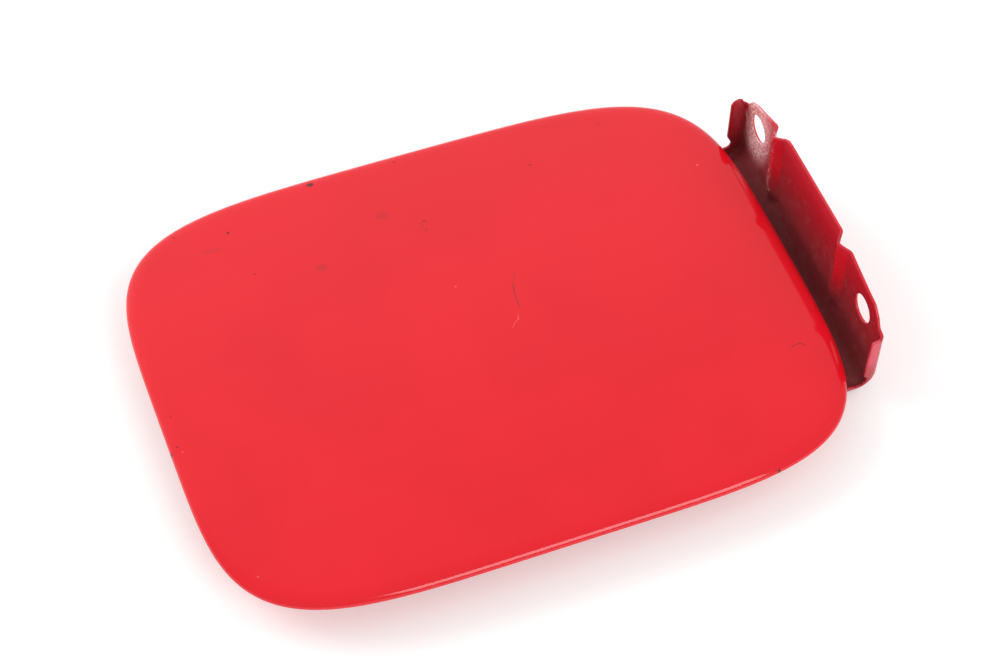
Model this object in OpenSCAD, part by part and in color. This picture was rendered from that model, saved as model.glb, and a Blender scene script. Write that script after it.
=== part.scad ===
// Fuel filler door of a car: pressed outer skin hemmed round an inner panel,
// with a sprung hinge leaf at its fully open stop, a latch catch and two
// rubber stops. Millimetres. X runs from the free edge to the hinge side, Z out
// of the painted face. The origin is midway between the two fixing holes, on
// the outer face of the hinge leaf's upright flange.

/* [Door panel] */
// Length of the door, free edge to hinge edge
panel_len = 180; // [170:1:190]
// Width of the door along the hinge edge
panel_wid = 137.6; // [130:0.1:150]
// Squareness of the outline, 2 is an ellipse
corner_n = 4.675; // [3.8:0.025:5.5]
// Drop of the crowned face from centre to hinge edge
crown_x = 1.0; // [0:0.1:1.5]
// Drop of the crowned face from centre to side edge
crown_y = 1.2; // [0:0.1:1.5]
// Depth of the face centre below the fixing holes
face_drop = 6.8; // [6.4:0.1:7.2]
// Gap in plan between the flange face and the hinge edge
hinge_gap = 7.5; // [7:0.1:9]
// Sideways offset of the panel centre from the fixing holes
panel_shift = 1.6; // [0:0.1:4]

/* [Sheet metal] */
// Thickness of the outer skin
skin_t = 0.8; // [0.7:0.05:0.9]
// Thickness of the inner panel
inner_t = 0.8; // [0.6:0.05:0.8]
// Width of the hem return
hem_w = 7; // [5:0.5:9]
// Depth of the inner panel's flat middle below the face centre
pan_depth = 5.6; // [5.4:0.1:5.8]

/* [Hinge leaf] */
// Thickness of the leaf sheet
leaf_t = 0.8; // [0.7:0.05:1]
// Distance between the two fixing holes
hole_pitch = 67.7; // [66:0.1:70]
// Diameter of the fixing holes
hole_d = 8.4; // [6.6:0.1:9]
// Depth of the leaf's floor below the fixing holes
floor_drop = 19.9; // [19.8:0.1:20.2]
// Outer radius of the bend between flange and floor
bend_r = 6.25; // [5:0.05:7]

/* [Hinge] */
// Distance of the hinge pin behind the flange face
pin_x = 32; // [31:0.5:33]
// Diameter of the hinge pin
pin_d = 4; // [3.6:0.1:4]
// Running clearance of the leaf's eyes on the pin, on the radius
pin_play = 0.06; // [0.04:0.01:0.1]
// Half the distance between the outer faces of the hinge base's ears
lug_half = 26.75; // [26.5:0.05:27.5]
// Thickness of the hinge base
base_t = 1.5; // [1.2:0.1:1.6]
// Wire diameter of the torsion spring
wire_d = 1.3; // [1:0.1:1.3]

/* [Latch catch] */
// Thickness of the catch sheet
catch_t = 1.5; // [1.2:0.1:1.6]
// Width of the catch tongue
catch_w = 26; // [20:1:30]
// Distance of the tongue behind the flange face
catch_x = 158; // [150:1:162]

/* [Rubber stops] */
// Diameter of a stop's head
stop_d = 12; // [10:0.5:14]
// Height of a stop's head
stop_h = 6; // [4:0.5:8]
// Diameter of the neck through the inner panel
stop_neck_d = 6; // [5:0.5:7]
// Distance of the stops behind the flange face
stop_x = 158; // [145:1:160]
// Distance of each stop from the panel's centre line
stop_y = 40; // [34:1:44]

/* [Hidden] */

eps = 0.01;
A = panel_len / 2;
B = panel_wid / 2;
cx = -hinge_gap - A;
cy = -panel_shift;
cz = -face_drop;
pan_z = cz - pan_depth;             // underside of the inner panel's middle
rest_z = -21.35;                    // lowest points: hinge ears and catch lip
N = 80;
body_red = [0.86, 0.10, 0.13];
dark_red = [0.55, 0.10, 0.12];
steel = [0.72, 0.71, 0.67];

// Heights at the edge, measured down from the crowned face
rim_top = 1.1;                      // upper side of the inner panel's rim
rim_bot = rim_top + inner_t;        // its lower side
hem_top = rim_bot + 0.02;           // upper side of the hem return
hem_bot = hem_top + skin_t;         // lowest face of the hem

// Outline of the door as a superellipse with half-axes a and b
function sgnpow(v, p) = sign(v) * pow(abs(v), p);
function sx(a, t) = a * sgnpow(cos(t), 2 / corner_n);
function sy(b, t) = b * sgnpow(sin(t), 2 / corner_n);
// Drop of the crowned face at a point
function crown(x, y) = crown_x * x * x / (A * A) + crown_y * y * y / (B * B);
// One ring: half-axes a and b, height z, share k of the crown
function ring(r) = [for (i = [0 : N - 1]) let (t = 360 * (i + 0.5) / N,
    x = sx(r[0], t), y = sy(r[1], t))
    [cx + x, cy + y, cz + r[2] - r[3] * crown(x, y)]];
// A ring set in from the edge by d
function inset(d, z, k) = [A - d, B - d, z, k];
// A ring at a share s of the outline set in by d
function share(s, d, z, k) = [s * (A - d), s * (B - d), z, k];

// Solid between two centre points, closed by rings of N points
module ring_solid(z0, rings, z1) {
    m = len(rings);
    pts = concat([[cx, cy, cz + z0]], [for (r = rings) each ring(r)],
                 [[cx, cy, cz + z1]]);
    last = 1 + m * N;
    faces = concat(
        [for (i = [0 : N - 1]) [0, 1 + (i + 1) % N, 1 + i]],
        [for (j = [0 : m - 2]) for (i = [0 : N - 1])
            let (a = 1 + j * N + i, b = 1 + j * N + (i + 1) % N)
            each [[a, b, b + N], [a, b + N, a + N]]],
        [for (i = [0 : N - 1])
            [last, 1 + (m - 1) * N + i, 1 + (m - 1) * N + (i + 1) % N]]);
    polyhedron(points = pts, faces = faces, convexity = 4);
}

// Crowned face, rolled edge and hem return in one sheet
module outer_skin() color(body_red)
    ring_solid(0, [
        share(0.35, 0, 0, 1), share(0.65, 0, 0, 1), share(0.85, 0, 0, 1),
        inset(6, 0, 1), inset(3, -0.05, 1),
        inset(1.9, -0.16, 1), inset(1.2, -0.38, 1), inset(0.65, -0.72, 1),
        inset(0.25, -1.15, 1), inset(0.05, -1.6, 1), inset(0, -2.05, 1),
        inset(0.25, -hem_bot + 0.28, 1), inset(0.8, -hem_bot, 1),
        inset(hem_w, -hem_bot, 1), inset(hem_w, -hem_top, 1),
        inset(1.7, -hem_top, 1), inset(1.15, -1.72, 1), inset(1.35, -1.44, 1),
        inset(2.0, -rim_top + 0.08, 1), inset(3.2, -skin_t - 0.06, 1),
        inset(8, -skin_t, 1), share(0.7, 0, -skin_t, 1), share(0.35, 0, -skin_t, 1)
    ], -skin_t);

// Pan-shaped stiffening panel, its rim held in the hem
module inner_panel() color(dark_red)
    difference() {
        ring_solid(pan_z + inner_t - cz, [
            inset(24, pan_z + inner_t - cz, 0), inset(17, pan_z + inner_t - cz, 0),
            inset(15.8, pan_z + inner_t - cz + 0.5, 0.15),
            inset(11.6, -rim_top - 0.45, 0.9),
            inset(10.2, -rim_top, 1), inset(2.5, -rim_top, 1),
            inset(2.5, -rim_bot, 1), inset(10.6, -rim_bot, 1),
            inset(12.2, -rim_bot - 0.5, 0.9),
            inset(16.4, pan_z - cz + 0.4, 0.15),
            inset(17.8, pan_z - cz, 0), inset(24, pan_z - cz, 0)
        ], pan_z - cz);
        for (s = [-1, 1])
            translate([-stop_x, cy + s * stop_y, pan_z - 1])
                cylinder(d = stop_neck_d, h = inner_t + 2, $fn = 48);
    }

// A quarter of a round bend, outer radius r, sheet t, from +u to +v
module quarter(r, t) intersection() {
    difference() { circle(r = r, $fn = 96); circle(r = r - t, $fn = 96); }
    square(r + 1);
}

// Sheet side view, X to the right and Z up, stretched along Y
module along_y(y0, y1) translate([0, y1, 0]) rotate([90, 0, 0])
    linear_extrude(y1 - y0) children();

// Shape drawn as Y to the right and Z up, stretched along X
module along_x(x0, x1) translate([x0, 0, 0]) rotate([90, 0, 90])
    linear_extrude(x1 - x0) children();

// The hinge line and the leaf's eyes
pin_r = pin_d / 2;
eye_in = pin_r + pin_play;
eye_out = eye_in + leaf_t;
pin_z = -floor_drop + eye_out;      // the floor runs into the eyes
hinge_y = -2.4;                     // middle of the hinge along the pin
lug_r = pin_z - rest_z;             // round ends of the hinge base's ears
eye_y0 = 9.6;                       // eyes reach from here ...
eye_y1 = lug_half - base_t - 0.35;  // ... to here, on each side of the middle

// Ends of the flange: outside faces of the two folded ears
far_y = 42.6;
near_y = -46.5;
fold_r = 2.1;
bend_z = -floor_drop + bend_r;      // where the flange meets the lower bend

// Plan view of an ear and its fold, at the far (s = 1) or near (s = -1) end
module ear_plan(s, y_end, x_end)
    translate([-fold_r, y_end - s * fold_r]) mirror([0, s > 0 ? 0 : 1]) {
        quarter(fold_r, leaf_t);
        translate([x_end + fold_r, fold_r - leaf_t])
            square([-x_end - fold_r, leaf_t]);
    }

// The same fold carried round the lower bend and a little along the floor,
// with the plate that stands up inside it
module end_rim(s, y_end, x_end) {
    y0 = y_end - s * fold_r;
    r = bend_r - fold_r;
    translate([-bend_r, y0, bend_z]) rotate([90, 0, 0]) rotate([0, 0, -90])
        rotate_extrude(angle = 90, $fn = 96) mirror([0, s > 0 ? 1 : 0]) {
            translate([r, 0]) quarter(fold_r, leaf_t);
            translate([1, fold_r - leaf_t]) square([r - 1, leaf_t]);
        }
    along_x(x_end, -bend_r) mirror([s > 0 ? 0 : 1, 0]) {
        translate([s * y0, -floor_drop + fold_r]) mirror([0, 1])
            quarter(fold_r, leaf_t);
        translate([s * y_end - leaf_t, -floor_drop + fold_r])
            square([leaf_t, r - 1]);
    }
}

// Tapered V bead: depth da and half-widths at the top, db lower down, then
// fading out to nothing at z2
module vbead(yc, da, fa, na, za, db, fb, nb, zb, z2, x)
    polyhedron(points = [
        [x + 0.3, yc + fa, za], [x - da, yc, za], [x + 0.3, yc - na, za],
        [x + 0.3, yc + fb, zb], [x - db, yc, zb], [x + 0.3, yc - nb, zb],
        [x + 0.3, yc, z2]],
        faces = [[2, 1, 0], [1, 4, 3, 0], [2, 5, 4, 1], [0, 3, 5, 2],
                 [4, 6, 3], [5, 6, 4], [3, 6, 5]], convexity = 3);

module beads(x, d) {
    vbead(21.7, 2.8 + d, 2.5, 2.5, 15.5, 1.8 + d, 4.0, 5.2, -11.5, -17.9, x);
    vbead(-19.2, 2.4 + d, 2.4, 3.8, 15.5, 1.7 + d, 3.8, 4.4, -8.6, -17.7, x);
}

// Outline of the upright flange with its two tabs, seen along X
module flange_outline() polygon([
    [-49, -23], [45, -23], [45, 5.2], [40.8, 5.2], [40.8, 4.4], [36.6, 7.0],
    [31.5, 8.7], [25.3, 11.1], [24.0, 11.1], [21.7, 10.7], [19.4, 11.4],
    [17.5, 12.7], [15.5, 13.0], [-15.7, 13.2], [-17.3, 12.9], [-19.2, 11.8],
    [-22.7, 11.7], [-24.6, 10.9], [-34.8, 8.4], [-38.8, 7.8], [-41.5, 5.2],
    [-43.0, 2.3], [-49, 2.1]]);

// Outline of the floor with its two tongues to the eyes, seen from above
module floor_outline() polygon([
    [-bend_r + 0.5, near_y + fold_r], [-12.5, near_y + fold_r],
    [-13.5, -43.4], [-22, -34],
    [-24.5, hinge_y - eye_y1], [-pin_x - 4, hinge_y - eye_y1],
    [-pin_x - 4, hinge_y - eye_y0], [-25, hinge_y - eye_y0],
    [-24, hinge_y - eye_y0 + 1], [-24, hinge_y + eye_y0 - 1],
    [-25, hinge_y + eye_y0], [-pin_x - 4, hinge_y + eye_y0],
    [-pin_x - 4, hinge_y + eye_y1], [-24.5, hinge_y + eye_y1],
    [-22, 29], [-13.5, 39.5], [-12.5, far_y - fold_r],
    [-bend_r + 0.5, far_y - fold_r]]);

// Stamped leaf: flange with tabs, beads and ears, bend, floor, rolled eyes
module hinge_leaf() color(dark_red) difference() {
    union() {
        // upright flange, ears, lower bend
        intersection() {
            union() {
                translate([0, 0, bend_z]) linear_extrude(29)
                    translate([-leaf_t, near_y + fold_r])
                        square([leaf_t, far_y - near_y - 2 * fold_r]);
                translate([0, 0, bend_z]) linear_extrude(20)
                    ear_plan(1, far_y, -5.8);
                translate([0, 0, bend_z]) linear_extrude(20)
                    ear_plan(-1, near_y, -4.3);
                along_y(near_y + fold_r, far_y - fold_r)
                    translate([-bend_r, bend_z]) mirror([0, 1])
                        quarter(bend_r, leaf_t);
                beads(-leaf_t, 0);
            }
            along_x(-9.8, 1) flange_outline();
        }
        end_rim(1, far_y, -12.5);
        end_rim(-1, near_y, -12.5);
        // floor and eyes
        intersection() {
            along_y(-50, 46) {
                translate([-pin_x, -floor_drop])
                    square([pin_x - bend_r, leaf_t]);
                translate([-pin_x, pin_z]) difference() {
                    circle(r = eye_out, $fn = 96);
                    // the rolled end stops short of the floor
                    polygon([[0, 0], [9, -1.0], [9, -leaf_t - 0.9],
                             [1.2, -leaf_t - 0.85]]);
                }
            }
            translate([0, 0, -30]) linear_extrude(50) floor_outline();
        }
    }
    // bore of the eyes
    translate([-pin_x, -40, pin_z]) rotate([-90, 0, 0])
        cylinder(r = eye_in, h = 80, $fn = 72);
    // hollow side of the beads
    beads(0, 0);
    // rounded top of the far ear, with the dip at its fold
    along_y(40.9, 44.2) polygon([[1, 7.8], [1, 2.6], [-0.9, 2.2], [-1.5, 3.1],
        [-2.2, 4.3], [-3.1, 4.8], [-4.4, 4.7], [-5.3, 4.1], [-6.0, 2.5], [-6.7, 7.8]]);
    // top of the near ear
    along_y(-48, -45.2) polygon([[1, 7.8], [1, 1.6], [-2.1, 1.4], [-4.0, 1.2],
        [-6.0, 0.6], [-6.0, 7.8]]);
    // inner edge of each rim, with the notch under the ear
    along_y(40.7, 44.2) polygon([[-6.3, -10.0], [-5.8, -10.4], [-4.5, -13.1],
        [-4.7, -14.3], [-5.6, -15.2], [-7.2, -15.5], [-9.5, -15.9], [-12, -18],
        [-13.6, -20], [-16, -20], [-16, -8]]);
    along_y(-48, -44.6) polygon([[-6, -13.6], [-4.3, -14.2], [-3.3, -15.2],
        [-3.5, -16.3], [-4.2, -17.2], [-5.2, -17.8], [-7.0, -17.7], [-8.8, -17.2],
        [-11.0, -18.2], [-12.8, -20], [-16, -20], [-16, -8]]);
    // fixing holes
    for (s = [-1, 1])
        translate([-6, s * hole_pitch / 2, 0]) rotate([0, 90, 0])
            cylinder(d = hole_d, h = 8, $fn = 72);
}

// Side view of a hinge base ear: round end at the pin, nose above the floor
module lug_profile() intersection() {
    translate([-60, rest_z - 1]) square([45, pan_z - 0.2 - rest_z + 1]);
    lug_shape();
}

module lug_shape() {
    translate([-pin_x, pin_z]) circle(r = lug_r, $fn = 96);
    polygon([[-52, pan_z - 2.7], [-36, pan_z - 2.7], [-36, pan_z - 0.2],
        [-30, pan_z - 0.2], [-23, pan_z - 1], [-20, pan_z - 2.8],
        [-20, -floor_drop + leaf_t + 0.1], [-27.9, -floor_drop + leaf_t + 0.1],
        [-pin_x, pin_z], [-pin_x - 3.4, pin_z - 3.1], [-44, pan_z - 6.2],
        [-50, pan_z - 4.9], [-52, pan_z - 3.6]]);
}

// U-shaped base welded under the inner panel, holding the pin
module hinge_base() color(dark_red) difference() {
    union() {
        for (s = [-1, 1]) {
            y0 = s > 0 ? hinge_y + lug_half - base_t : hinge_y - lug_half;
            along_y(y0, y0 + base_t) lug_profile();
            // bend from plate to ear
            along_x(-52, -36)
                translate([hinge_y + s * (lug_half - 2.7), pan_z - 2.7])
                    mirror([s > 0 ? 0 : 1, 0]) quarter(2.7, base_t);
        }
        translate([0, 0, pan_z - base_t]) linear_extrude(base_t)
            translate([0, hinge_y]) polygon([
                [-36, -lug_half + 2.7 - eps], [-52, -lug_half + 2.7 - eps],
                [-52, -lug_half + 3.4], [-57, -17], [-57, 17],
                [-52, lug_half - 3.4], [-52, lug_half - 2.7 + eps],
                [-36, lug_half - 2.7 + eps]]);
    }
    translate([-pin_x, -40, pin_z]) rotate([-90, 0, 0])
        cylinder(r = pin_r + 0.02, h = 80, $fn = 72);
    // round window in the plate
    translate([-46.5, hinge_y, pan_z - 4]) cylinder(d = 9, h = 6, $fn = 48);
}

// Headed pin with a groove for its clip, turned about the hinge line
module hinge_pin() color(steel)
    translate([-pin_x, hinge_y, pin_z]) rotate([-90, 0, 0])
        rotate_extrude($fn = 64) polygon([
            [0, -30.2], [pin_r - 0.4, -30.2], [pin_r, -29.8], [pin_r, -28.0],
            [1.5, -28.0], [1.5, -27.0], [pin_r, -27.0], [pin_r, lug_half + 0.05],
            [3.5, lug_half + 0.05], [3.5, lug_half + 1.0], [2.9, lug_half + 1.6],
            [0, lug_half + 1.6]]);

// Open clip in the pin's groove
module pin_clip() color(steel)
    translate([-pin_x, hinge_y - 27.9, pin_z]) rotate([-90, 0, 0]) difference() {
        cylinder(d = 7.6, h = 0.8, $fn = 64);
        translate([0, 0, -1]) cylinder(r = 1.53, h = 3, $fn = 48);
        translate([-1.2, 0, -1]) cube([2.4, 8, 3]);
    }

// Wire of the torsion spring: one leg under the leaf's floor, the coil round
// the pin, the other leg under the hinge base's plate
wire_r = wire_d / 2;
coil_r = pin_r + wire_r + 0.25;
turns = 8.125;
coil_y = 8;                         // the coil's ends from the hinge middle
coil_n = 98;
wire = concat(
    [[-14, -coil_y, -floor_drop - wire_r - 0.03],
     [-24.5, -coil_y, -floor_drop - wire_r - 0.03],
     [-28.5, -coil_y, pin_z - coil_r - 0.5]],
    [for (i = [0 : coil_n]) let (a = -90 - 360 * turns * i / coil_n)
        [-pin_x + coil_r * cos(a), -coil_y + 2 * coil_y * i / coil_n,
         pin_z + coil_r * sin(a)]],
    [[-37.2, coil_y, pan_z - base_t - wire_r - 1.1],
     [-39, coil_y, pan_z - base_t - wire_r - 0.05],
     [-48, coil_y, pan_z - base_t - wire_r - 0.03]]);
M = len(wire);
function unit(v) = v / norm(v);
function wire_dir(i) = unit(wire[min(i + 1, M - 1)] - wire[max(i - 1, 0)]);
function wire_ring(i) = let (t = wire_dir(i), n = unit(cross([0, 1, 0], t)),
    m = cross(t, n)) [for (k = [0 : 6]) wire[i] + [0, hinge_y, 0]
        + wire_r * (cos(360 * k / 7) * n + sin(360 * k / 7) * m)];
module torsion_spring() color(steel)
    polyhedron(points = [for (i = [0 : M - 1]) each wire_ring(i)],
        faces = concat([[for (k = [0 : 6]) k]],
            [for (i = [0 : M - 2]) for (k = [0 : 6])
                let (a = 7 * i + k, b = 7 * i + (k + 1) % 7)
                each [[a, a + 7, b + 7], [a, b + 7, b]]],
            [[for (k = [6 : -1 : 0]) 7 * (M - 1) + k]]), convexity = 12);

// Z-shaped catch: base welded to the inner panel, lip turned to the free edge
module latch_catch() color(steel) {
    x = -catch_x;
    r = 3;
    difference() {
        union() {
            along_y(cy - catch_w / 2, cy + catch_w / 2) {
                translate([x, rest_z + r])
                    square([catch_t, pan_z - r - rest_z - r]);
                translate([x + r, pan_z - r]) rotate(90) quarter(r, catch_t);
                translate([x + catch_t - r, rest_z + r]) rotate(-90)
                    quarter(r, catch_t);
                translate([x - 10, rest_z])
                    square([10 + catch_t - r + eps, catch_t]);
            }
            // base, wider than the tongue, with cut corners
            translate([0, 0, pan_z - catch_t]) linear_extrude(catch_t)
                polygon([[x + r - eps, cy - catch_w / 2],
                    [x + 8, cy - catch_w / 2], [x + 12, cy - 20],
                    [x + 26, cy - 20], [x + 30, cy - 16],
                    [x + 30, cy + 16], [x + 26, cy + 20],
                    [x + 12, cy + 20], [x + 8, cy + catch_w / 2],
                    [x + r - eps, cy + catch_w / 2]]);
        }
        // cut corners of the lip
        for (s = [-1, 1])
            translate([x - 10, cy + s * catch_w / 2, rest_z - 1])
                rotate(45) translate([-2.6, -2.6]) cube([5.2, 5.2, catch_t + 2]);
        // round window in the base
        translate([x + 19, cy, pan_z - 4]) cylinder(d = 8, h = 6, $fn = 48);
    }
}

// Rubber stop: domed head below the panel, neck and retaining bulb above it
module rubber_stop(s) color([0.12, 0.12, 0.12])
    translate([-stop_x, cy + s * stop_y, pan_z])
        rotate_extrude($fn = 64) polygon([
            [0, 2.9], [2.0, 2.9], [3.0, 2.4], [3.7, 1.4], [3.7, inner_t + 0.05],
            [stop_neck_d / 2 - 0.05, inner_t + 0.05], [stop_neck_d / 2 - 0.05, -0.02],
            [stop_d / 2, -0.02], [stop_d / 2, -1.6], [stop_d / 2 - 0.6, -stop_h + 1.6],
            [stop_d / 2 - 1.4, -stop_h + 0.5], [stop_d / 2 - 2.6, -stop_h],
            [0, -stop_h]]);

module rubber_stop_near() rubber_stop(-1);
module rubber_stop_far() rubber_stop(1);

outer_skin();
inner_panel();
hinge_leaf();
hinge_base();
hinge_pin();
pin_clip();
torsion_spring();
latch_catch();
rubber_stop_near();
rubber_stop_far();
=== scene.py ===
import math
import bpy
import bmesh
import numpy as np
from mathutils import Matrix, Vector
from mathutils.geometry import delaunay_2d_cdt


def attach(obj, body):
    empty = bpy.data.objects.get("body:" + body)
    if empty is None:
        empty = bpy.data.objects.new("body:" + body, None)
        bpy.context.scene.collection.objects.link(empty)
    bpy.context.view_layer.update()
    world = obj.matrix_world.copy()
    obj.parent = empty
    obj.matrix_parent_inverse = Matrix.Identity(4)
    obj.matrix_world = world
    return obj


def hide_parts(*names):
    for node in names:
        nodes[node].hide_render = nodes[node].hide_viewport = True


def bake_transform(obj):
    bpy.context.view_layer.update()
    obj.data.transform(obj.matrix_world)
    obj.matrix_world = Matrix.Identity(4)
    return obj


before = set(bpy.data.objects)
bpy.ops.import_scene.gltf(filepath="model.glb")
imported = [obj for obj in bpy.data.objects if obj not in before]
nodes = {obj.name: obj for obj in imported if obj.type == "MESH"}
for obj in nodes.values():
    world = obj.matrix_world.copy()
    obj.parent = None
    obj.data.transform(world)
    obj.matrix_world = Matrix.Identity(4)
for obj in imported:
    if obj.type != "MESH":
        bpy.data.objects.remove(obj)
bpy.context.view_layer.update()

MM = 0.001

# ---------------------------------------------------------------- dimensions
# millimetres, the same values as the construction model; the outline stays 0.04 inside it
A, B, CORNER = 89.96, 68.765, 4.675
CX, CY, CZ = -97.5, -1.6, -6.8
CROWN_X, CROWN_Y = 1.0, 1.2
PAN_Z = -12.4
INNER_T = 0.8
LEAF_T = 0.8
BEND_R, FLOOR = 6.25, -19.9
BEND_Z = FLOOR + BEND_R
PIN_X, PIN_Z, HINGE_Y = -32.0, -17.04, -2.4
REST_Z = -21.35
LUG_HALF, BASE_T = 26.75, 1.5
CATCH_T, CATCH_X = 1.5, -158.0


# ---------------------------------------------------------------- mesh tools
def new_object(name, verts, faces, smooth_deg=None):
    me = bpy.data.meshes.new(name)
    me.from_pydata([tuple(float(c) * MM for c in v) for v in verts], [], faces)
    me.validate()
    bm = bmesh.new()
    bm.from_mesh(me)
    bmesh.ops.recalc_face_normals(bm, faces=bm.faces)
    if bm.calc_volume(signed=True) < 0:
        bmesh.ops.reverse_faces(bm, faces=bm.faces)
    bm.to_mesh(me)
    bm.free()
    for p in me.polygons:
        p.use_smooth = True
    if smooth_deg:
        me.set_sharp_from_angle(angle=math.radians(smooth_deg))
    ob = bpy.data.objects.new(name, me)
    bpy.context.scene.collection.objects.link(ob)
    return ob


def outline_radius(a, b, ang):
    c, s = np.abs(np.cos(ang)) / a, np.abs(np.sin(ang)) / b
    return (c ** CORNER + s ** CORNER) ** (-1.0 / CORNER)


def crown(x, y):
    return CROWN_X * x * x / (A * A) + CROWN_Y * y * y / (B * B)


def spline(points, steps):
    """Centripetal curve through the points, for a pressed profile."""
    p = np.array(points, float)
    p = np.vstack([2 * p[0] - p[1], p, 2 * p[-1] - p[-2]])
    out = []
    for i in range(1, len(p) - 2):
        p0, p1, p2, p3 = p[i - 1], p[i], p[i + 1], p[i + 2]
        t0 = 0.0
        t1 = t0 + max(np.linalg.norm((p1 - p0)[:2]), 1e-6) ** 0.5
        t2 = t1 + max(np.linalg.norm((p2 - p1)[:2]), 1e-6) ** 0.5
        t3 = t2 + max(np.linalg.norm((p3 - p2)[:2]), 1e-6) ** 0.5
        for k in range(steps):
            t = t1 + (t2 - t1) * k / steps
            a1 = (t1 - t) / (t1 - t0) * p0 + (t - t0) / (t1 - t0) * p1
            a2 = (t2 - t) / (t2 - t1) * p1 + (t - t1) / (t2 - t1) * p2
            a3 = (t3 - t) / (t3 - t2) * p2 + (t - t2) / (t3 - t2) * p3
            b1 = (t2 - t) / (t2 - t0) * a1 + (t - t0) / (t2 - t0) * a2
            b2 = (t3 - t) / (t3 - t1) * a2 + (t - t1) / (t3 - t1) * a3
            out.append((t2 - t) / (t2 - t1) * b1 + (t - t1) / (t2 - t1) * b2)
    out.append(p[-2])
    return [tuple(q) for q in out]


def ring_shell(name, rings, seg, bump=None, smooth_deg=50):
    """Closed shell from rings (share, inset, height, share of the crown)."""
    ang = (np.arange(seg) + 0.5) * 2 * math.pi / seg
    verts, faces = [], []
    for share, inset, z, k in rings:
        r = outline_radius(A - inset, B - inset, ang) * share
        x, y = r * np.cos(ang), r * np.sin(ang)
        h = CZ + z - k * crown(x, y)
        if bump is not None:
            h = h + bump(CX + x, CY + y, z)
        verts += list(zip(CX + x, CY + y, h))
    m = len(rings)
    top = len(verts)
    verts.append((CX, CY, CZ + rings[0][2]))
    bottom = len(verts)
    verts.append((CX, CY, CZ + rings[-1][2]))
    for j in range(m - 1):
        for i in range(seg):
            a, b = j * seg + i, j * seg + (i + 1) % seg
            faces.append((a, b, b + seg, a + seg))
    for i in range(seg):
        faces.append((top, (i + 1) % seg, i))
        a, b = (m - 1) * seg + i, (m - 1) * seg + (i + 1) % seg
        faces.append((bottom, a, b))
    return new_object(name, verts, faces, smooth_deg)


def fillet(points, radius=0.6, step=0.4):
    """Closed outline with rounded corners, resampled; a point is (u, v) or (u, v, radius)."""
    n = len(points)
    out = []
    for i in range(n):
        p0 = np.array(points[i - 1][:2], float)
        p1 = np.array(points[i][:2], float)
        p2 = np.array(points[(i + 1) % n][:2], float)
        r = points[i][2] if len(points[i]) > 2 else radius
        a, b = p0 - p1, p2 - p1
        la, lb = np.linalg.norm(a), np.linalg.norm(b)
        a, b = a / la, b / lb
        cosang = float(np.clip(a @ b, -1, 1))
        half = math.acos(cosang) / 2
        if half > math.radians(88.5) or r <= 0:
            out.append(p1)
            continue
        cut = min(r / math.tan(half), la * 0.48, lb * 0.48)
        rr = cut * math.tan(half)
        c = p1 + (a + b) / np.linalg.norm(a + b) * rr / math.sin(half)
        s, e = p1 + a * cut, p1 + b * cut
        sa = math.atan2(*(s - c)[::-1])
        ea = math.atan2(*(e - c)[::-1])
        d = (ea - sa + math.pi) % (2 * math.pi) - math.pi
        k = max(2, int(abs(d) / math.radians(15)))
        for j in range(k + 1):
            t = sa + d * j / k
            out.append(c + rr * np.array([math.cos(t), math.sin(t)]))
    res = []
    for i in range(len(out)):
        p, q = out[i], out[(i + 1) % len(out)]
        d = np.linalg.norm(q - p)
        if d < 1e-4:
            continue
        k = max(1, int(math.ceil(d / step)))
        for j in range(k):
            res.append(p + (q - p) * j / k)
    return np.array(res)


def inside(poly, pts):
    x, y = pts[:, 0], pts[:, 1]
    res = np.zeros(len(pts), bool)
    px, py = poly[:, 0], poly[:, 1]
    qx, qy = np.roll(px, -1), np.roll(py, -1)
    for i in range(len(poly)):
        if py[i] == qy[i]:
            continue
        c = (py[i] > y) != (qy[i] > y)
        xi = (qx[i] - px[i]) * (y - py[i]) / (qy[i] - py[i]) + px[i]
        res ^= c & (x < xi)
    return res


def near(poly, pts, dist):
    """True where a point is nearer than dist to the closed outline."""
    res = np.zeros(len(pts), bool)
    p, q = poly, np.roll(poly, -1, axis=0)
    for i in range(len(poly)):
        d = q[i] - p[i]
        t = np.clip(((pts - p[i]) @ d) / (d @ d), 0, 1)
        e = pts - (p[i] + t[:, None] * d)
        res |= (e * e).sum(1) < dist * dist
    return res


def inward(poly, d):
    """The outline moved inward by d (outward from a hole with d < 0)."""
    area = 0.5 * np.sum(poly[:, 0] * np.roll(poly[:, 1], -1) - np.roll(poly[:, 0], -1) * poly[:, 1])
    s = 1.0 if area > 0 else -1.0
    e = np.roll(poly, -1, axis=0) - np.roll(poly, 1, axis=0)
    e /= np.linalg.norm(e, axis=1)[:, None]
    nrm = np.stack([-e[:, 1], e[:, 0]], 1) * s
    return poly + nrm * d


def circle(cu, cv, r, n=56):
    a = np.arange(n) * 2 * math.pi / n
    return np.stack([cu + r * np.cos(a), cv + r * np.sin(a)], 1)


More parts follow.
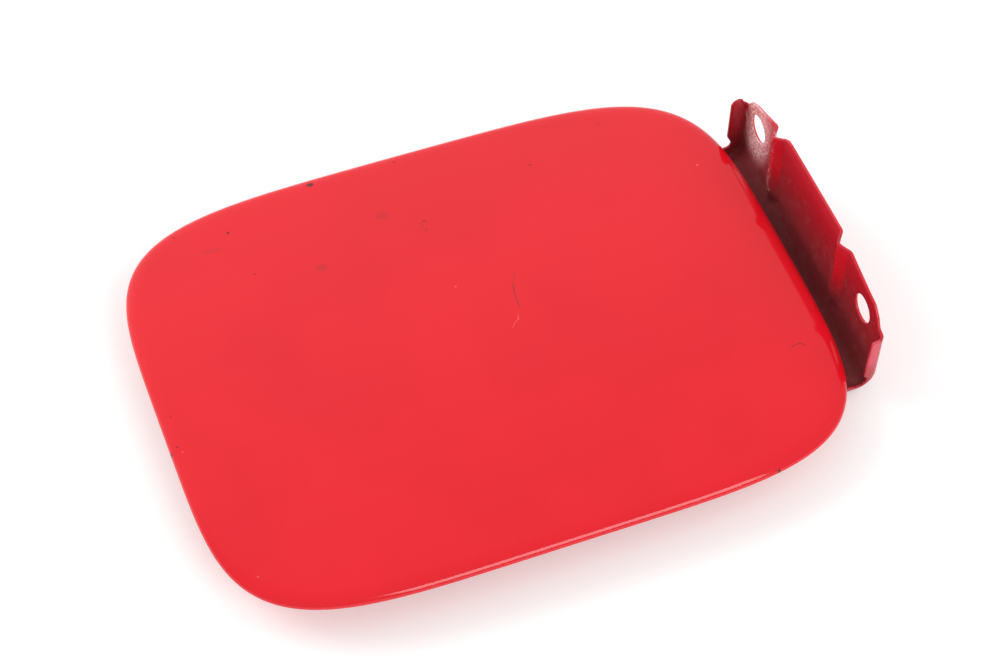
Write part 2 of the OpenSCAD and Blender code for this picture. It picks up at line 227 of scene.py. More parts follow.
def sheet(name, outline, holes, mapping, thick, pitch=0.8, edge=0.17, smooth_deg=60):
    """Pressed sheet: the flat outline and holes are meshed, laid on the middle
    surface given by mapping(u, v), and given their thickness and broken edges."""
    loops = [outline] + list(holes)
    coords, edges, ring0 = [], [], []
    for k, lp in enumerate(loops):
        inner = inward(lp, edge if k == 0 else -edge)
        for which, ring in ((0, lp), (1, inner)):
            base = len(coords)
            coords += [tuple(p) for p in ring]
            edges += [(base + i, base + (i + 1) % len(ring)) for i in range(len(ring))]
            if which == 0:
                ring0.append((base, len(ring)))
    lo, hi = outline.min(0), outline.max(0)
    gu = np.arange(lo[0] + pitch / 2, hi[0], pitch)
    gv = np.arange(lo[1] + pitch / 2, hi[1], pitch)
    g = np.array([(u, v) for v in gv for u in gu])
    g = g[inside(outline, g)]
    for k, lp in enumerate(loops):
        if k:
            g = g[~inside(lp, g)]
        g = g[~near(lp, g, edge + 0.42 * pitch)]
    count0 = len(coords)
    coords += [tuple(p) for p in g]
    v2, _, f2, vo, _, _ = delaunay_2d_cdt([Vector(c) for c in coords], edges, [], 0, 1e-6, True)
    flat = np.array([(v[0], v[1]) for v in v2])
    tri = np.array([f for f in f2 if len(f) == 3])
    cen = flat[tri].mean(1)
    keep = inside(outline, cen)
    for lp in holes:
        keep &= ~inside(lp, cen)
    tri = tri[keep]
    rim = np.zeros(len(flat), bool)
    for i, orig in enumerate(vo):
        for b, n in ring0:
            if any(b <= o < b + n for o in orig):
                rim[i] = True
    h = 0.02
    u, v = flat[:, 0], flat[:, 1]
    p = mapping(u, v)
    tu = mapping(u + h, v) - mapping(u - h, v)
    tv = mapping(u, v + h) - mapping(u, v - h)
    nrm = np.cross(tu, tv)
    nrm /= np.linalg.norm(nrm, axis=1)[:, None]
    off = np.where(rim, thick / 2 - edge, thick / 2)[:, None]
    up, dn = p + nrm * off, p - nrm * off
    nv = len(flat)
    verts = list(map(tuple, up)) + list(map(tuple, dn))
    a, b, c = flat[tri[:, 0]], flat[tri[:, 1]], flat[tri[:, 2]]
    ccw = (b[:, 0] - a[:, 0]) * (c[:, 1] - a[:, 1]) - (b[:, 1] - a[:, 1]) * (c[:, 0] - a[:, 0]) > 0
    tri[~ccw] = tri[~ccw][:, ::-1]
    faces = [tuple(map(int, t)) for t in tri] + [tuple(int(i) + nv for i in t[::-1]) for t in tri]
    count = {}
    for t in tri:
        for i in range(3):
            e = (int(t[i]), int(t[(i + 1) % 3]))
            count[e] = 1
    for (i, j) in count:
        if (j, i) not in count:
            faces.append((j, i, i + nv, j + nv))
    return new_object(name, verts, faces, smooth_deg)


def tube(name, path, radius, sides=14):
    path = np.array(path, float)
    n = len(path)
    d = np.zeros_like(path)
    d[1:-1] = path[2:] - path[:-2]
    d[0], d[-1] = path[1] - path[0], path[-1] - path[-2]
    d /= np.linalg.norm(d, axis=1)[:, None]
    side = np.cross(d, np.array([0, 1.0, 0]))
    side /= np.linalg.norm(side, axis=1)[:, None]
    other = np.cross(d, side)
    verts, faces = [], []
    shrink = [(-1, 0.75)] + [(i, 1.0) for i in range(n)] + [(n, 0.75)]
    for i, k in shrink:
        j = min(max(i, 0), n - 1)
        o = path[j] + d[j] * (0.12 * radius if i >= n else -0.12 * radius if i < 0 else 0)
        for s in range(sides):
            t = 2 * math.pi * s / sides
            verts.append(o + radius * k * (math.cos(t) * side[j] + math.sin(t) * other[j]))
    m = len(shrink)
    for i in range(m - 1):
        for s in range(sides):
            a, b = i * sides + s, i * sides + (s + 1) % sides
            faces.append((a, b, b + sides, a + sides))
    faces.append(tuple(range(sides))[::-1])
    faces.append(tuple((m - 1) * sides + s for s in range(sides)))
    return new_object(name, verts, faces, 50)


def lathe(name, profile, centre, axis, seg=96, smooth_deg=40):
    """Turned piece: profile of (radius, height) about an axis 'y' or 'z'."""
    verts, faces = [], []
    rings = []
    for r, h in profile:
        if r < 1e-6:
            rings.append([len(verts)])
            verts.append((0, 0, h))
        else:
            rings.append(list(range(len(verts), len(verts) + seg)))
            for s in range(seg):
                t = 2 * math.pi * s / seg
                verts.append((r * math.cos(t), r * math.sin(t), h))
    for p, q in zip(rings[:-1], rings[1:]):
        for s in range(seg):
            s2 = (s + 1) % seg
            f = [p[s % len(p)], p[s2 % len(p)], q[s2 % len(q)], q[s % len(q)]]
            f = list(dict.fromkeys(f))
            if len(f) > 2:
                faces.append(tuple(f))
    out = []
    for x, y, z in verts:
        if axis == "y":
            x, y, z = x, z, -y
        out.append((centre[0] + x, centre[1] + y, centre[2] + z))
    return new_object(name, out, faces, smooth_deg)


def fine_profile(points, radius=0.2, steps=4):
    """Open (radius, height) profile with small rounded corners."""
    out = [points[0]]
    for i in range(1, len(points) - 1):
        p0, p1, p2 = (np.array(points[j], float) for j in (i - 1, i, i + 1))
        a, b = p0 - p1, p2 - p1
        la, lb = np.linalg.norm(a), np.linalg.norm(b)
        r = min(radius, la * 0.45, lb * 0.45)
        a, b = a / la * r, b / lb * r
        for k in range(steps + 1):
            t = k / steps
            q = (1 - t) ** 2 * (p1 + a) + 2 * t * (1 - t) * p1 + t * t * (p1 + b)
            out.append(tuple(q))
    out.append(points[-1])
    return out


# ---------------------------------------------------------------- outer skin
HEM_BOT = 2.72
HEM_TOP = 1.92
face_rings = [(k / 24, 0, 0, 1) for k in range(1, 20)]
edge_profile = spline([(9.0, 0.0), (6.0, 0.0), (4.0, -0.012), (2.8, -0.05), (1.9, -0.16), (1.2, -0.38), (0.65, -0.72),
                       (0.25, -1.15), (0.05, -1.6), (0.0, -2.0), (0.12, -2.32), (0.42, -2.58),
                       (0.9, -HEM_BOT), (1.6, -HEM_BOT)], 5)
inner_profile = spline([(6.88, -HEM_TOP), (1.9, -HEM_TOP), (1.3, -1.84), (1.12, -1.68), (1.35, -1.42),
                        (2.0, -1.02), (3.4, -0.86), (5.2, -0.8), (8.0, -0.8)], 4)
rings = list(face_rings)
rings += [(1, d, z, 1) for d, z in edge_profile]
rings += [(1, d, -HEM_BOT, 1) for d in (2.4, 3.6, 4.8, 6.0, 6.6, 6.85)]
rings += [(1, 6.97, -HEM_BOT + 0.06, 1), (1, 7.0, -HEM_BOT + 0.16, 1), (1, 7.0, -HEM_TOP - 0.16, 1),
          (1, 6.97, -HEM_TOP - 0.05, 1)]
rings += [(1, d, z, 1) for d, z in inner_profile]
rings += [(k / 24, 0, -0.8, 1) for k in range(19, 0, -3)]


def hem_waves(x, y, z):
    """The hem return is rolled a little unevenly; the face is left smooth."""
    if z > -1.9:
        return 0.0
    t = np.arctan2(y - CY, x - CX)
    return 0.035 * np.maximum(0, np.sin(9 * t + 1.0) + 0.6 * np.sin(23 * t)) * (z > -HEM_BOT + 0.1) \
        + 0.03 * np.maximum(0, np.sin(7 * t) + 0.7 * np.sin(17 * t + 2)) * (z <= -HEM_BOT + 0.1)


skin = ring_shell("skin_pressing", rings, 480, None, 45)
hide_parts("outer_skin")
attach(skin, "door")

# ---------------------------------------------------------------- inner panel
top = PAN_Z + INNER_T - CZ
bot = PAN_Z - CZ
pan_up = spline([(19.5, top, 0), (17.6, top, 0), (16.6, top + 0.15, 0.06), (15.2, top + 0.85, 0.25),
                 (12.6, -1.1 - 1.0, 0.75), (11.4, -1.1 - 0.30, 0.95), (10.2, -1.1, 1), (8.6, -1.1, 1)], 4)
pan_dn = spline([(8.8, -1.9, 1), (10.7, -1.9, 1), (11.8, -1.9 - 0.22, 0.95), (13.2, -1.9 - 1.0, 0.75),
                 (15.7, bot + 0.85, 0.25), (17.1, bot + 0.15, 0.06), (18.1, bot, 0), (20.0, bot, 0)], 4)


def pan_share(q, z, k):
    return (q, 20.0, z, k)


pr = [pan_share(q / 16, top, 0) for q in range(1, 16)]
pr += [(1, d, z, k) for d, z, k in pan_up]
pr += [(1, 6.0, -1.1, 1), (1, 2.62, -1.1, 1), (1, 2.5, -1.2, 1), (1, 2.5, -1.8, 1), (1, 2.62, -1.9, 1), (1, 6.0, -1.9, 1)]
pr += [(1, d, z, k) for d, z, k in pan_dn]
pr += [pan_share(q / 60, bot, 0) for q in range(58, 0, -2)]

WELDS = [(-47.5, y) for y in (-14, 9.2)] + [(-54.2, -7.4), (-54.2, 2.6)] \
    + [(-134.0, -16.5), (-134.0, 10.7), (-141, -19.0), (-141, 13.2)]


def pan_form(x, y, z):
    """Raised stiffening swage of the plateau."""
    if z > bot + 1.2 and z > top + 0.6:
        return 0.0
    if abs(z - top) > 1e-6 and abs(z - bot) > 1e-6:
        return 0.0
    dx, dy = x - (-95.0), y - CY
    # long oval swage between the hinge base and the catch
    q = np.abs(np.hypot(np.maximum(np.abs(dx) - 14, 0), np.maximum(np.abs(dy) - 20, 0)) - 15.0)
    f = np.clip(1 - q / 5.0, 0, 1)
    f = f * f * (3 - 2 * f)
    return 1.1 * f


pan = ring_shell("panel_pressing", pr, 400, pan_form, 50)
# the two holes of the rubber stops are closed by the stops' heads and bulbs
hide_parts("inner_panel")
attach(pan, "door")

# ---------------------------------------------------------------- hinge leaf
RM = BEND_R - LEAF_T / 2
ARC = RM * math.pi / 2
V_FLOOR = BEND_Z - ARC          # flat coordinate where the floor starts
EYE_RM = 2.06 + LEAF_T / 2
FOLD_R = 2.1
FOLD_M = FOLD_R - LEAF_T / 2
FAR_F, NEAR_F = 40.5, -44.4


def floor_v(x):
    return V_FLOOR + (x + BEND_R)


def smooth_max(a, k):
    return 0.5 * (a + np.sqrt(a * a + k * k))


def bead(y, z, yc, da, fa, na, za, db, fb, nb, zb, z2):
    t = np.clip((za - z) / (za - zb), -0.5, 1)
    d, f, n = da + (db - da) * t, fa + (fb - fa) * t, na + (nb - na) * t
    s = np.clip((z - z2) / (zb - z2), 0, 1)
    low = z < zb
    s = s * s * (3 - 2 * s) * 0.5 + s * 0.5
    d = np.where(low, db * s, d)
    w = np.where(y > yc, np.where(low, fb * (0.35 + 0.65 * s), f), np.where(low, nb * (0.35 + 0.65 * s), n))
    q = np.sqrt((y - yc) ** 2 + 0.20 ** 2) - 0.03
    v = 1.0 - q / np.maximum(w, 0.3)
    k = 0.07
    return d * smooth_max(v, k) * np.where(v < -1.2, 0, 1) * np.clip(2.2 - q / np.maximum(w, 0.3), 0, 1)


def leaf_map(u, v):
    u, v = np.asarray(u, float), np.asarray(v, float)
    x = np.full_like(u, -LEAF_T / 2)
    y = u.copy()
    z = v.copy()
    s = BEND_Z - v
    th = np.clip(s / RM, 0, math.pi / 2)
    in_bend = s > 0
    x = np.where(in_bend, -BEND_R + RM * np.cos(th), x)
    z = np.where(in_bend, BEND_Z - RM * np.sin(th), z)
    f = s - ARC
    on_floor = f > 0
    x = np.where(on_floor, -BEND_R - f, x)
    z = np.where(on_floor, FLOOR + LEAF_T / 2, z)
    # the floor rises to the eyes
    e = f - (-PIN_X - BEND_R)
    in_eye = e > 0
    ph = e / EYE_RM
    x = np.where(in_eye, PIN_X - EYE_RM * np.sin(ph), x)
    z = np.where(in_eye, PIN_Z - EYE_RM * np.cos(ph), z)
    # V beads
    zb = np.maximum(z, -30)
    d = bead(u, zb, 21.7, 2.8, 2.5, 2.5, 15.5, 1.8, 4.0, 5.2, -11.5, -17.9) \
        + bead(u, zb, -19.2, 2.4, 2.4, 3.8, 15.5, 1.7, 3.8, 4.4, -8.6, -17.7)
    d = np.where(s > ARC * 0.95, 0, d)
    x = x - d
    # ends folded inward: ears on the flange, a low rim round the bend and floor
    nx = np.where(s > 0, -np.cos(th), -1.0)
    nz = np.where(s > 0, np.sin(th), 0.0)
    for sign, edge in ((1, FAR_F), (-1, -NEAR_F)):
        e = sign * u - edge
        end = (e > 0) & (f < 14)
        t = np.clip(e / FOLD_M, 0, math.pi / 2)
        inw = FOLD_M * (1 - np.cos(t)) + np.maximum(e - FOLD_M * math.pi / 2, 0)
        x = np.where(end, x + nx * inw, x)
        z = np.where(end, z + nz * inw, z)
        y = np.where(end, sign * (edge + FOLD_M * np.sin(t)), y)
    return np.stack([x, y, z], -1)


V_EYE = floor_v(PIN_X) - EYE_RM * math.radians(272)


def ear_u(x):
    """Distance past the fold line of a point of an ear at that x."""
    return FOLD_M * math.pi / 2 + (-x - FOLD_R)


fe, ne = (lambda x: FAR_F + ear_u(x)), (lambda x: NEAR_F - ear_u(x))
leaf_outline = fillet([
    (-43.0, 2.2, 0.8), (-44.6, 1.75), (-46.2, 1.5), (ne(-3.5), 1.1, 0.4), (ne(-3.85), 0.6, 0.3),
    (ne(-4.3), -13.6, 0.3), (ne(-3.9), -14.2, 0.2), (ne(-3.5), -14.9, 0.15), (ne(-2.9), -15.3, 0.2),
    (ne(-3.1), -16.2, 0.15), (ne(-2.6), -16.8, 0.15), (ne(-2.75), -17.6, 0.2), (ne(-2.2), -18.3, 0.15),
    (ne(-2.35), -19.3, 0.2), (ne(-1.95), -20.2, 0.2), (ne(-2.2), -21.3, 0.3), (ne(-2.15), -22.3, 0.2),
    (ne(-2.6), -23.4, 0.3), (ne(-2.85), -24.6, 0.5), (ne(-2.5), -26.0, 0.8), (ne(-1.6), floor_v(-11.3), 0.8),
    (-44.4, floor_v(-12.8), 1.2), (-43.4, floor_v(-13.5), 2), (-34.0, floor_v(-22.0), 5),
    (-27.3, floor_v(-24.5), 1.5), (-27.3, V_EYE, 0.3), (-12.0, V_EYE, 0.3), (-12.0, floor_v(-25.0), 1.2),
    (-11.0, floor_v(-24.0), 1.0), (6.2, floor_v(-24.0), 1.0), (7.2, floor_v(-25.0), 1.2), (7.2, V_EYE, 0.3),
    (22.5, V_EYE, 0.3), (22.5, floor_v(-24.5), 1.5), (29.0, floor_v(-22.0), 5), (39.5, floor_v(-13.5), 2),
    (40.5, floor_v(-12.8), 1.2), (fe(-2.6), floor_v(-11.6), 1.0), (fe(-4.4), floor_v(-9.8), 0.8), (fe(-4.65), floor_v(-7.5), 1.0),
    (fe(-4.4), -17.5, 1.0), (fe(-4.5), -14.2, 0.6), (fe(-4.4), -13.2, 0.5), (fe(-5.15), -11.6, 0.8), (fe(-5.75), -10.5, 0.6),
    (fe(-5.8), 2.9, 0.9), (fe(-5.3), 4.0, 0.7), (fe(-4.4), 4.65, 0.8), (fe(-3.1), 4.8, 0.9), (fe(-2.3), 4.35, 0.6),
    (fe(-1.85), 3.3, 0.5), (41.5, 2.5, 0.35), (41.0, 2.7, 0.3), (40.7, 4.0, 0.5), (40.0, 4.9, 0.8), (36.6, 7.0, 3),
    (31.5, 8.75, 4), (25.4, 11.05, 0.9), (24.0, 11.05, 1.5), (21.7, 10.7, 1.4), (19.5, 11.4, 1.5), (17.5, 12.7, 1.2),
    (15.5, 12.95, 1.2), (0.0, 13.05), (-15.7, 13.1, 1.0), (-17.3, 12.8, 1.0), (-19.2, 11.8, 1.2), (-20.6, 11.5, 1.0),
    (-22.6, 11.5, 1.2), (-24.6, 10.8, 1.5), (-34.8, 8.3, 5), (-38.8, 7.6, 3), (-41.5, 5.1, 2.5),
], 0.6, 0.36)
leaf_holes = [circle(y, 0.0, 4.2, 64) for y in (-33.85, 33.85)]
leaf = sheet("leaf_pressing", leaf_outline, leaf_holes, leaf_map, LEAF_T, 0.55, 0.13)
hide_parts("hinge_leaf")
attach(leaf, "leaf")

# ---------------------------------------------------------------- hinge base
BASE_Z = PAN_Z - BASE_T / 2
S0 = LUG_HALF - 2.7
RB = 2.7 - BASE_T / 2
S1 = S0 + RB * math.pi / 2
PIN_S = S1 + (PAN_Z - 2.7) - PIN_Z


def dimples(u, v, spots, r=2.3, deep=0.16):
    h = np.zeros_like(np.asarray(u, float))
    for a, b in spots:
        q = np.clip(1.25 - np.hypot(u - a, v - b) / r, 0, 0.45) / 0.45
        h = h + deep * q * q * (3 - 2 * q)
    return h


def base_map(u, v):
    x, v = np.array(u, float), np.asarray(v, float)
    sign, a = np.where(v < 0, -1.0, 1.0), np.abs(v)
    th = np.clip((a - S0) / RB, 0, math.pi / 2)
    y = np.minimum(a, S0) + RB * np.sin(th)
    z = BASE_Z - RB * (1 - np.cos(th)) - np.maximum(a - S1, 0)
    up = x > -35.6
    y = np.where(up, S0 + RB, y)
    z = np.where(up, PAN_Z - 2.7 - (a - S1), z)
    z = z + np.where(up | (a > S0 - 2), 0, dimples(x, v, [(-41, -17), (-41, 17), (-52.5, -11), (-52.5, 11)]))
    # small gusset pressed into each bend
    g = np.clip(1 - np.abs(x + 46.5) / 2.0, 0, 1)
    g = g * g * (3 - 2 * g) * np.sin(th * 2) * np.where(up, 0, 1)
    return np.stack([x, HINGE_Y + sign * (y - 0.8 * g), z - 0.8 * g], -1)


arc = [(-32 + 4.31 * math.cos(math.radians(t)), PIN_S + 4.31 * math.sin(math.radians(t)), 0) for t in range(30, 138, 6)]
half_base = [(-36.0, S1 - 0.1, 0.25), (-35.3, S1 - 0.1, 0.25), (-35.3, S1 - 2.5, 0.4), (-30, S1 - 2.5, 2.5), (-23, S1 - 1.7, 3),
             (-20, S1 + 0.1, 1.5), (-20, S1 + 3.9, 0.8), (-28.16, S1 + 3.9, 0.15)] + arc \
    + [(-35.6, S1 + 4.95, 1.0), (-44, S1 + 3.5, 3), (-50, S1 + 2.2, 2), (-52, S1 + 0.9, 1.0), (-52, 23.4, 1.5), (-57, 17, 3)]
base_outline = fillet(half_base + [(p[0], -p[1]) + tuple(p[2:]) for p in half_base[::-1]], 0.5, 0.5)
base = sheet("base_pressing", base_outline, [circle(-46.5, 0, 4.5, 64), circle(-32, PIN_S, 2.02, 56), circle(-32, -PIN_S, 2.02, 56)],
             base_map, BASE_T, 0.8, 0.16)
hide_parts("hinge_base")
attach(base, "door")

# ---------------------------------------------------------------- latch catch
V1 = 27.0
RC = 3 - CATCH_T / 2
V2 = V1 + RC * math.pi / 2
V3 = V2 + (PAN_Z - 3) - (REST_Z + 3)
V4 = V3 + RC * math.pi / 2
V5 = V4 + 8.5


def catch_map(u, v):
    u, v = np.array(u, float), np.asarray(v, float)
    a = np.clip((v - V1) / RC, 0, math.pi / 2)
    b = np.clip((v - V3) / RC, 0, math.pi / 2)
    x = CATCH_X + 30 - np.minimum(v, V1) - RC * np.sin(a) - RC * (1 - np.cos(b)) - np.maximum(v - V4, 0)
    z = PAN_Z - CATCH_T / 2 - RC * (1 - np.cos(a)) - np.clip(v - V2, 0, V3 - V2) - RC * np.sin(b)
    z = z + np.where(v < 24, dimples(u, v, [(CY - 14, 7), (CY + 14, 7), (CY - 14, 15), (CY + 14, 15)]), 0)
    # rib down the middle of the tongue and both bends
    g = np.clip(1 - np.abs(u - CY) / 3.0, 0, 1) * np.clip((v - 20) / 5, 0, 1) * np.clip((V5 - 2.5 - v) / 4, 0, 1)
    g = 0.8 * g * g * (3 - 2 * g)
    n = a + b - np.where(b > 0, 2 * b, 0)
    return np.stack([x + g * np.sin(n), u, z - g * np.cos(n) * np.where(v > V3, 0, 1)], -1)


half_catch = [(0, 16, 1.5), (4, 20, 2), (18, 20, 2), (22, 13, 2), (V5 - 3.68, 13, 0.8), (V5, 9.32, 0.8)]
catch_outline = fillet([(CY + w, v, r) for v, w, r in half_catch] + [(CY - w, v, r) for v, w, r in half_catch[::-1]], 0.5, 0.5)
catch = sheet("catch_pressing", catch_outline, [circle(CY, 11, 4.0, 64)], catch_map, CATCH_T, 0.8, 0.16)
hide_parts("latch_catch")
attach(catch, "door")

# ---------------------------------------------------------------- pin, spring, stops
pin = lathe("turned_pin", [(0, -30.2)] + fine_profile([
    (0.3, -30.2), (1.6, -30.2), (2.0, -29.8), (2.0, -28.0), (1.5, -28.0), (1.5, -27.0), (2.0, -27.0), (2.0, 26.8),
    (3.5, 26.8), (3.5, 27.75), (2.9, 28.35), (0.3, 28.35)], 0.14, 3) + [(0, 28.35)], (PIN_X, HINGE_Y, PIN_Z), "y", 72)
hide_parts("hinge_pin")
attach(pin, "door")

WIRE_R, COIL_R, COIL_Y, TURNS = 0.65, 2.9, 8.0, 8.125
leg_z = FLOOR - WIRE_R - 0.03
top_z = PAN_Z - BASE_T - WIRE_R
moving = spline([(-14.1, -COIL_Y, leg_z), (-18, -COIL_Y, leg_z), (-24.3, -COIL_Y, leg_z), (-28.4, -COIL_Y, PIN_Z - COIL_R - 0.42),
                 (-30.4, -COIL_Y, PIN_Z - COIL_R - 0.10), (PIN_X, -COIL_Y, PIN_Z - COIL_R)], 5)
coil = []
for i in range(1, 391):
    t = math.radians(-90 - 360 * TURNS * i / 390)
    coil.append((PIN_X + COIL_R * math.cos(t), -COIL_Y + 2 * COIL_Y * i / 390, PIN_Z + COIL_R * math.sin(t)))
fixed = spline([coil[-1], (-37.0, COIL_Y, top_z - 1.1), (-39.2, COIL_Y, top_z - 0.1), (-43, COIL_Y, top_z - 0.04),
                (-47.8, COIL_Y, top_z - 0.04)], 6)[1:]
wire = [(x, HINGE_Y + y, z) for x, y, z in moving + coil + fixed]
spring = tube("spring_coil", wire, WIRE_R, 16)
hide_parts("torsion_spring")
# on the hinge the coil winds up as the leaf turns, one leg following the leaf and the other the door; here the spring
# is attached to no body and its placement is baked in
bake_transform(spring)

stops = []
for name, side in (("near", -1), ("far", 1)):
    st = lathe("stop_moulding_" + name, [(0, 2.9)] + fine_profile([
        (0.4, 2.9), (2.0, 2.9), (3.0, 2.4), (3.7, 1.4), (3.7, 0.85), (2.95, 0.85), (2.95, -0.02), (6.0, -0.02), (6.0, -1.6),
        (5.4, -4.4), (4.6, -5.5), (3.4, -6.0), (2.2, -6.0), (1.9, -5.3), (0.3, -5.2)], 0.45, 4) + [(0, -5.2)],
        (CATCH_X, CY + side * 40, PAN_Z), "z", 96)
    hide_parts("rubber_stop_" + name)
    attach(st, "door")
    stops.append(st)

# ---------------------------------------------------------------- materials


class Graph:
    """Small helper for node materials; positions are in millimetres."""

    def __init__(self, name):
        self.mat = bpy.data.materials.new(name)
        self.mat.use_nodes = True
        self.t = self.mat.node_tree
        self.t.nodes.clear()
        self.out = self.t.nodes.new("ShaderNodeOutputMaterial")
        self.bsdf = self.t.nodes.new("ShaderNodeBsdfPrincipled")
        self.t.links.new(self.bsdf.outputs[0], self.out.inputs[0])
        tc = self.t.nodes.new("ShaderNodeTexCoord")
        self.p = self.vec("MULTIPLY", tc.outputs["Object"], (1000, 1000, 1000))
        sep = self.t.nodes.new("ShaderNodeSeparateXYZ")
        self.t.links.new(self.p, sep.inputs[0])
        self.x, self.y, self.z = sep.outputs[0], sep.outputs[1], sep.outputs[2]

    def _set(self, node, k, v):
        if isinstance(v, bpy.types.NodeSocket):
            self.t.links.new(v, node.inputs[k])
        else:
            node.inputs[k].default_value = v

    def m(self, op, a, b=0.0, c=0.0, clamp=False):
        n = self.t.nodes.new("ShaderNodeMath")
        n.operation = op
        n.use_clamp = clamp
        for k, v in enumerate((a, b, c)):
            self._set(n, k, v)
        return n.outputs[0]

    def add(self, *a):
        r = a[0]
        for b in a[1:]:
            r = self.m("ADD", r, b)
        return r

    def mul(self, *a):
        r = a[0]
        for b in a[1:]:
            r = self.m("MULTIPLY", r, b)
        return r

    def vec(self, op, a, b=(0, 0, 0)):
        n = self.t.nodes.new("ShaderNodeVectorMath")
        n.operation = op
        self._set(n, 0, a)
        self._set(n, 1, b)
        return n.outputs[1] if op in ("LENGTH", "DISTANCE", "DOT_PRODUCT") else n.outputs[0]

    def comb(self, x, y, z):
        n = self.t.nodes.new("ShaderNodeCombineXYZ")
        for k, v in enumerate((x, y, z)):
            self._set(n, k, v)
        return n.outputs[0]

    def noise(self, scale, detail=2.0, rough=0.5, vec=None, distort=0.0):
        """Noise of about 0..1 whose features are scale mm across."""
        n = self.t.nodes.new("ShaderNodeTexNoise")
        self.t.links.new(vec if vec is not None else self.p, n.inputs["Vector"])
        n.inputs["Scale"].default_value = 1.0 / scale
        n.inputs["Detail"].default_value = detail
        n.inputs["Roughness"].default_value = rough
        n.inputs["Distortion"].default_value = distort
        return n.outputs[0]

    def step(self, v, a, b):
        """0 below a, 1 above b, smooth between (a may be above b)."""
        n = self.t.nodes.new("ShaderNodeMapRange")
        n.interpolation_type = "SMOOTHSTEP"
        n.clamp = True
        self._set(n, 0, v)
        lo, hi, t0, t1 = (a, b, 0.0, 1.0) if a < b else (b, a, 1.0, 0.0)
        for k, q in enumerate((lo, hi, t0, t1)):
            n.inputs[1 + k].default_value = q
        return n.outputs[0]

    def mix(self, f, a, b):
        n = self.t.nodes.new("ShaderNodeMix")
        n.data_type = "RGBA"
        self._set(n, 0, f)
        for k, v in ((6, a), (7, b)):
            self._set(n, k, v if isinstance(v, bpy.types.NodeSocket) else (v[0], v[1], v[2], 1))
        return n.outputs[2]

    def mixf(self, f, a, b):
        n = self.t.nodes.new("ShaderNodeMix")
        self._set(n, 0, f)
        self._set(n, 2, a)
        self._set(n, 3, b)
        return n.outputs[0]

    def dist2(self, cx, cy, ax=1.0, ay=1.0):
        """Distance in the XY plane from a point, in mm, stretched by 1/ax and 1/ay."""
        dx = self.mul(self.m("SUBTRACT", self.x, cx), 1 / ax)
        dy = self.mul(self.m("SUBTRACT", self.y, cy), 1 / ay)
        return self.m("SQRT", self.add(self.mul(dx, dx), self.mul(dy, dy)))

    def segment(self, x0, y0, x1, y1):
        """Distance in the XY plane from a straight stretch, in mm."""
        lx, ly = x1 - x0, y1 - y0
        ll = lx * lx + ly * ly
        px, py = self.m("SUBTRACT", self.x, x0), self.m("SUBTRACT", self.y, y0)
        t = self.mul(self.add(self.mul(px, lx), self.mul(py, ly)), 1 / ll)
        t = self.m("MINIMUM", self.m("MAXIMUM", t, 0.0), 1.0)
        dx = self.m("SUBTRACT", px, self.mul(t, lx))
        dy = self.m("SUBTRACT", py, self.mul(t, ly))
        return self.m("SQRT", self.add(self.mul(dx, dx), self.mul(dy, dy)))

    def any(self, masks):
        r = masks[0]
        for q in masks[1:]:
            r = self.m("MAXIMUM", r, q)
        return r

    def bump(self, height, strength, mm):
        n = self.t.nodes.new("ShaderNodeBump")
        n.inputs["Strength"].default_value = strength
        n.inputs["Distance"].default_value = mm * MM
        self.t.links.new(height, n.inputs["Height"])
        self.t.links.new(n.outputs[0], self.bsdf.inputs["Normal"])

    def set(self, **kw):
        names = {"color": "Base Color", "rough": "Roughness", "metal": "Metallic", "ior": "IOR",
                 "coat": "Coat Weight", "coat_rough": "Coat Roughness", "spec": "Specular IOR Level",
                 "coat_ior": "Coat IOR"}
        for k, v in kw.items():
            if k == "color" and not isinstance(v, bpy.types.NodeSocket):
                v = (v[0], v[1], v[2], 1)
            self._set(self.bsdf, names[k], v)
        return self.mat


